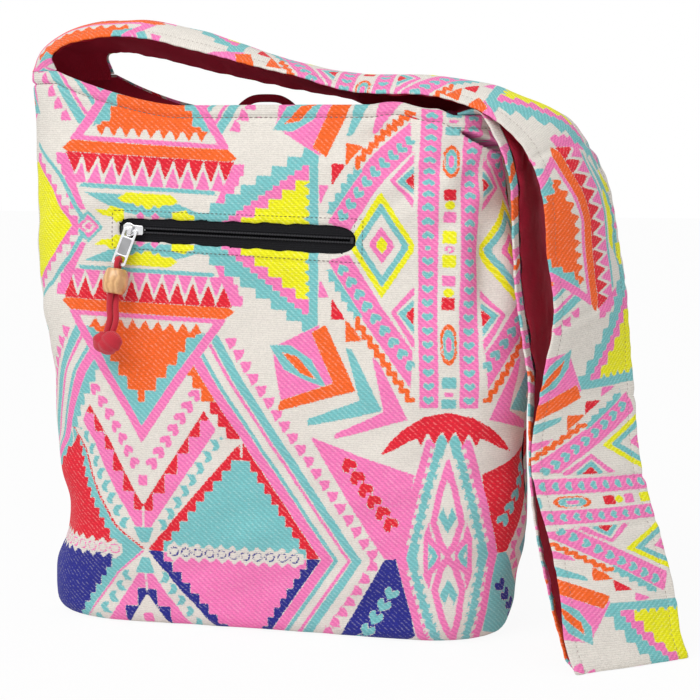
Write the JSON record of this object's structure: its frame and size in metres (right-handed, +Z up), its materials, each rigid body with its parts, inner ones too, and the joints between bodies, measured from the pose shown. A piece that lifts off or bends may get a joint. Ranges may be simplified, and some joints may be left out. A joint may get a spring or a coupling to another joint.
{
  "type": "shoulder bag",
  "caption": "Slouchy woven cotton shoulder bag with a wide lined strap, a zipped welt pocket and a beaded cord on the zip pull.",
  "frame": {"origin": "middle of the base, on the surface that the bag stands on", "axes": "+X to the right along the mouth, +Y from the pocket side to the back, +Z up"},
  "size_m": [0.5101, 0.14, 0.4649],
  "materials": {
    "woven_fabric": "jacquard weave in bright geometric colours on cream",
    "lining": "plain dark red cotton",
    "zip_tape": "black woven tape",
    "zip_coil": "black nylon",
    "metal": "bright nickel",
    "cord": "red cotton",
    "wood": "clear lacquer"
  },
  "bodies": {
    "bag": {"front_panel": "woven_fabric", "back_panel": "woven_fabric", "base_panel": "woven_fabric", "lining_front": "lining", "lining_back": "lining", "lining_base": "lining", "shoulder_strap": "woven_fabric", "strap_lining": "lining", "pocket_bag": "lining", "zip_tape_upper": "zip_tape", "zip_tape_lower": "zip_tape", "zip_coil_upper": "zip_coil", "zip_coil_lower": "zip_coil", "zip_stop_left": "zip_coil", "zip_stop_right": "zip_coil", "closure_loop": "lining"},
    "slider": {"zip_slider": "metal"},
    "pull": {"pull_tab": "metal"},
    "tassel": {"pull_cord": "cord", "wooden_bead": "wood", "cord_knot": "cord"}
  },
  "joints": [
    {"name": "zip_slide", "type": "slide", "parent": "bag", "child": "slider", "axis": [0.9994, 0, -0.0349], "range_m": [0, 0.16]},
    {"name": "pull_lift", "type": "hinge", "parent": "slider", "child": "pull", "pos_m": [-0.10015, -0.0493, 0.3078], "axis": [-0.9455, 0, 0.3256], "range_deg": [0, 155]},
    {"name": "tassel_swing", "type": "hinge", "parent": "pull", "child": "tassel", "pos_m": [-0.10824, -0.05364, 0.28687], "axis": [-0.0233, 0.9816, -0.1894], "range_deg": [-30, 45]}
  ]
}
